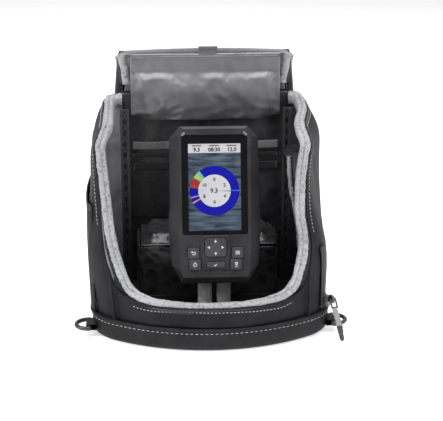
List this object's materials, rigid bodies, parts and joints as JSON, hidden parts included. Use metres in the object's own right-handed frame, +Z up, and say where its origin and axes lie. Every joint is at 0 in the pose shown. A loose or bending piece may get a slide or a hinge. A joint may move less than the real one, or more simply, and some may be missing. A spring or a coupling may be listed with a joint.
{
  "type": "fish finder",
  "caption": "Portable sonar display on a tilt and swivel post mount, standing with its battery in a soft carry bag whose front cover unzips and folds back.",
  "frame": {"origin": "on the floor under the bag, on its centre plane, between its front and back walls", "axes": "+Z up, +X to the right of the person using it, who stands on the -Y side and looks along +Y"},
  "size_m": [0.2648, 0.2012, 0.2545],
  "materials": {
    "outer_cloth": "coarse woven nylon",
    "boot_rubber": "matte moulded",
    "light_lining": "crinkled coated nylon",
    "dark_lining": "coated nylon",
    "satin_lining": "satin",
    "webbing": "woven webbing",
    "net": "open knit",
    "zip_tape": "woven tape",
    "zip_metal": "satin",
    "grip_vinyl": "matte moulded",
    "ring_plastic": "satin moulded",
    "frame_plastic": "moulded",
    "tray_plastic": "moulded",
    "battery_case": "moulded",
    "terminal": "tinned",
    "post_metal": "satin anodised",
    "mount_plastic": "glass filled",
    "steel": "plain",
    "case_plastic": "fine spark texture",
    "inlay": "satin",
    "lens_glass": "gloss",
    "screen": "lit display",
    "board": "laminate",
    "key_rubber": "matte moulded",
    "seal_rubber": "moulded"
  },
  "bodies": {
    "bag": {"base_boot": "boot_rubber", "front_panel": "outer_cloth", "left_side_panel": "outer_cloth", "right_side_panel": "outer_cloth", "back_panel": "outer_cloth", "front_padding": "dark_lining", "left_padding": "dark_lining", "right_padding": "dark_lining", "back_padding": "dark_lining", "rim_binding": "light_lining", "opening_zip": "zip_tape", "net_pocket": "net", "net_pocket_hem": "webbing", "ring_tab_left": "webbing", "ring_tab_right": "webbing", "side_zip": "zip_tape", "base_tray": "tray_plastic", "left_upright": "frame_plastic", "right_upright": "frame_plastic", "battery": "battery_case", "battery_terminals": "terminal", "battery_pouch": "dark_lining", "webbing_bands": "webbing", "inner_net_pocket": "net", "side_flap_pocket": "dark_lining", "mount_foot": "mount_plastic", "foot_screws": "steel", "mount_posts": "post_metal", "mount_head": "mount_plastic"},
    "cover_front": {"cover_stand": "satin_lining", "pull_tab": "webbing"},
    "cover_top": {"cover_roof": "outer_cloth"},
    "cover_face": {"cover_apron": "outer_cloth"},
    "lining_curtain": {"curtain": "satin_lining"},
    "swivel": {"swivel_bracket": "mount_plastic", "swivel_bolt": "steel", "tilt_bolt": "steel"},
    "knob": {"tilt_knob": "mount_plastic"},
    "unit": {"front_case": "case_plastic", "corner_inlays": "inlay", "lens": "lens_glass", "display_panel": "screen", "main_board": "board", "key_membrane": "seal_rubber", "rear_case": "case_plastic", "case_screws": "steel", "case_gasket": "seal_rubber", "power_socket": "mount_plastic"},
    "ring_left": {"strap_ring_left": "ring_plastic"},
    "ring_right": {"strap_ring_right": "ring_plastic"},
    "zip_slider": {"side_zip_slider": "zip_metal"},
    "zip_pull": {"zip_pull_ring": "zip_metal", "zip_pull_tape": "webbing", "zip_pull_grip": "grip_vinyl"},
    "arrow_pad_cap": {"arrow_pad": "key_rubber"},
    "enter_key_cap": {"enter_key": "key_rubber"},
    "back_key_cap": {"back_key": "key_rubber"},
    "power_key_cap": {"power_key": "key_rubber"},
    "menu_key_cap": {"menu_key": "key_rubber"},
    "mark_key_cap": {"mark_key": "key_rubber"}
  },
  "joints": [
    {"name": "swivel_turn", "type": "hinge", "parent": "bag", "child": "swivel", "pos_m": [0.004, -0.02, 0.051], "axis": [0, 0, 1], "range_deg": [-12, 12]},
    {"name": "tilt_turn", "type": "hinge", "parent": "swivel", "child": "unit", "pos_m": [0.004, -0.02, 0.0702], "axis": [-1, 0, 0], "range_deg": [-4, 10]},
    {"name": "tilt_knob_turn", "type": "hinge", "parent": "swivel", "child": "knob", "pos_m": [0.023, -0.02, 0.0702], "axis": [1, 0, 0], "range_deg": [-180, 180]},
    {"name": "cover_hinge", "type": "hinge", "parent": "bag", "child": "cover_front", "pos_m": [0, 0.0905, 0.212], "axis": [1, 0, 0], "range_deg": [0, 85]},
    {"name": "cover_fold", "type": "hinge", "parent": "cover_front", "child": "cover_top", "pos_m": [0, 0.0965, 0.25], "axis": [1, 0, 0], "range_deg": [0, 180.5]},
    {"name": "cover_bend", "type": "hinge", "parent": "cover_top", "child": "cover_face", "pos_m": [0, 0.1025, 0.16], "axis": [1, 0, 0], "range_deg": [0, 74.2]},
    {"name": "curtain_swing", "type": "hinge", "parent": "cover_front", "child": "lining_curtain", "pos_m": [0, 0.084, 0.245], "axis": [1, 0, 0], "range_deg": [-68.2, 0]},
    {"name": "ring_left_turn", "type": "hinge", "parent": "bag", "child": "ring_left", "pos_m": [-0.11774, -0.044, 0.01], "axis": [0, 1, 0], "range_deg": [-20, 78]},
    {"name": "ring_right_turn", "type": "hinge", "parent": "bag", "child": "ring_right", "pos_m": [0.11774, -0.044, 0.01], "axis": [0, -1, 0], "range_deg": [-20, 78]},
    {"name": "side_zip_slide", "type": "slide", "parent": "bag", "child": "zip_slider", "axis": [0, 0, 1], "range_m": [0, 0.048]},
    {"name": "zip_pull_swing", "type": "hinge", "parent": "zip_slider", "child": "zip_pull", "pos_m": [0.11658, -0.05456, 0.0346], "axis": [-0.9563, -0.2922, 0], "range_deg": [-2, 95]},
    {"name": "arrow_pad_press", "type": "slide", "parent": "unit", "child": "arrow_pad_cap", "axis": [0, 0.9703, -0.2419], "range_m": [0, 0.0008], "stiffness_N_per_m": 1200},
    {"name": "enter_key_press", "type": "slide", "parent": "unit", "child": "enter_key_cap", "axis": [0, 0.9703, -0.2419], "range_m": [0, 0.0008], "stiffness_N_per_m": 1200},
    {"name": "back_key_press", "type": "slide", "parent": "unit", "child": "back_key_cap", "axis": [0, 0.9703, -0.2419], "range_m": [0, 0.0008], "stiffness_N_per_m": 1200},
    {"name": "power_key_press", "type": "slide", "parent": "unit", "child": "power_key_cap", "axis": [0, 0.9703, -0.2419], "range_m": [0, 0.0008], "stiffness_N_per_m": 1200},
    {"name": "menu_key_press", "type": "slide", "parent": "unit", "child": "menu_key_cap", "axis": [0, 0.9703, -0.2419], "range_m": [0, 0.0008], "stiffness_N_per_m": 1200},
    {"name": "mark_key_press", "type": "slide", "parent": "unit", "child": "mark_key_cap", "axis": [0, 0.9703, -0.2419], "range_m": [0, 0.0008], "stiffness_N_per_m": 1200}
  ],
  "couplings": [
    {"joint": "cover_fold", "follows": "cover_hinge", "ratio": 2.1176},
    {"joint": "cover_bend", "follows": "cover_hinge", "ratio": 0.8694},
    {"joint": "curtain_swing", "follows": "cover_hinge", "ratio": -0.8}
  ]
}
